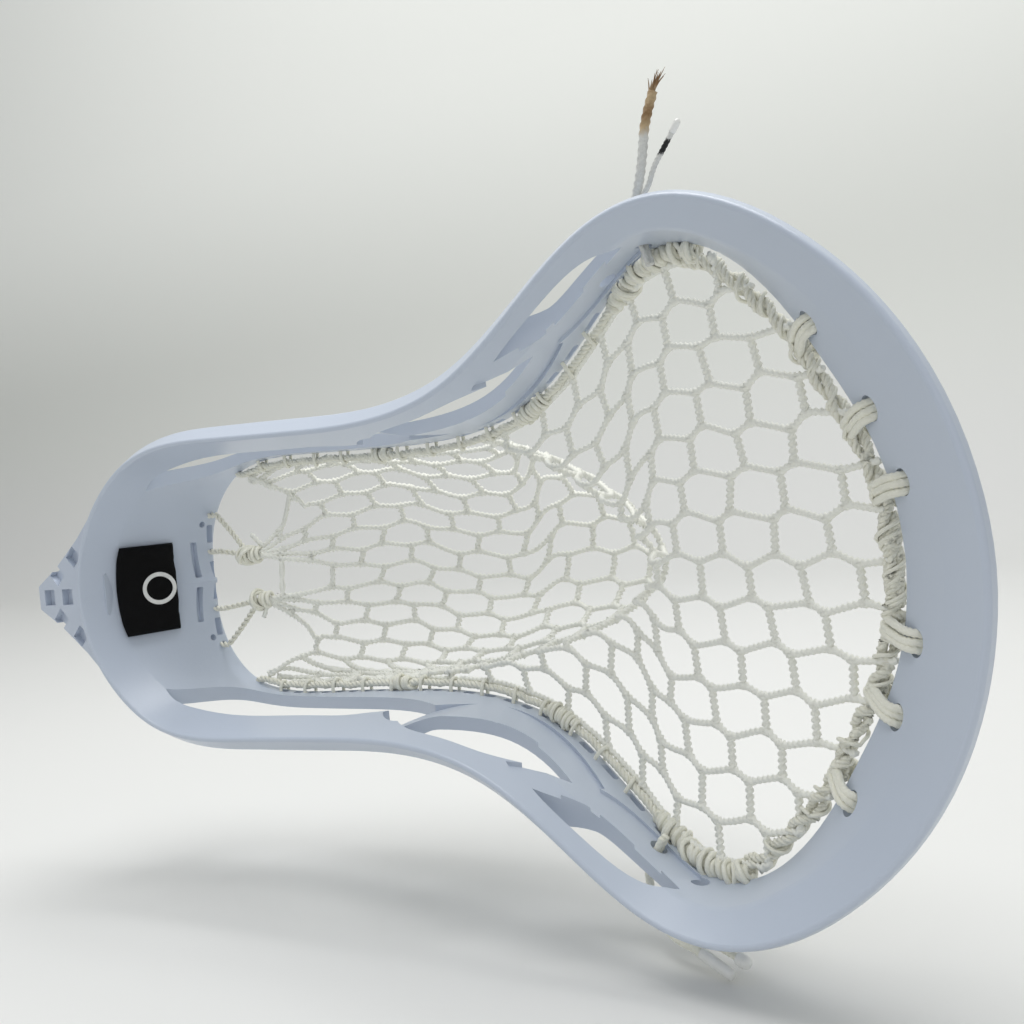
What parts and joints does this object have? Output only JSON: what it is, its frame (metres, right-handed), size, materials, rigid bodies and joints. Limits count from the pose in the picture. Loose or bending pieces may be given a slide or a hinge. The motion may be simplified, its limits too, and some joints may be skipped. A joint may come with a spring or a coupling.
{
  "type": "lacrosse head",
  "caption": "Strung lacrosse head: moulded frame with a flared scoop, windowed side walls, ball stop pad, net pocket, laces and an octagonal handle socket.",
  "frame": {"origin": "middle of the handle socket's mouth, on the handle axis", "axes": "+X along the handle axis towards the scoop, +Z across the face from side wall to side wall, and the open face looks towards -Y"},
  "size_m": [0.3216, 0.1114, 0.2204],
  "materials": {
    "head_plastic": "satin moulded nylon, powder blue-grey",
    "pad_foam": "matt black foam",
    "mark_print": "matt light grey print",
    "net_cord": "off-white twisted mesh cord",
    "lace_cord": "off-white braided nylon lace",
    "sealed_end": "melted white cord end",
    "scorched_end": "tan scorched, frayed cord end"
  },
  "bodies": {
    "root": {"ball_stop_mark": "mark_print", "ball_stop_pad": "pad_foam", "bottom_string": "lace_cord", "corner_coil_lower": "lace_cord", "corner_coil_upper": "lace_cord", "head_frame": "head_plastic", "lower_tail_braid": "lace_cord", "lower_tail_sleeve": "sealed_end", "lower_tail_thin": "lace_cord", "lower_tail_tip": "sealed_end", "mesh_pocket": "net_cord", "scoop_tie_lower_inner": "lace_cord", "scoop_tie_lower_middle": "lace_cord", "scoop_tie_lower_outer": "lace_cord", "scoop_tie_upper_inner": "lace_cord", "scoop_tie_upper_middle": "lace_cord", "scoop_tie_upper_outer": "lace_cord", "sidewall_knots_lower": "lace_cord", "sidewall_knots_upper": "lace_cord", "sidewall_string_lower": "lace_cord", "sidewall_string_upper": "lace_cord", "top_string": "lace_cord", "upper_tail_braid": "lace_cord", "upper_tail_thin": "lace_cord", "upper_tail_tip": "sealed_end", "upper_tail_tuft": "scorched_end"}
  },
  "joints": []
}
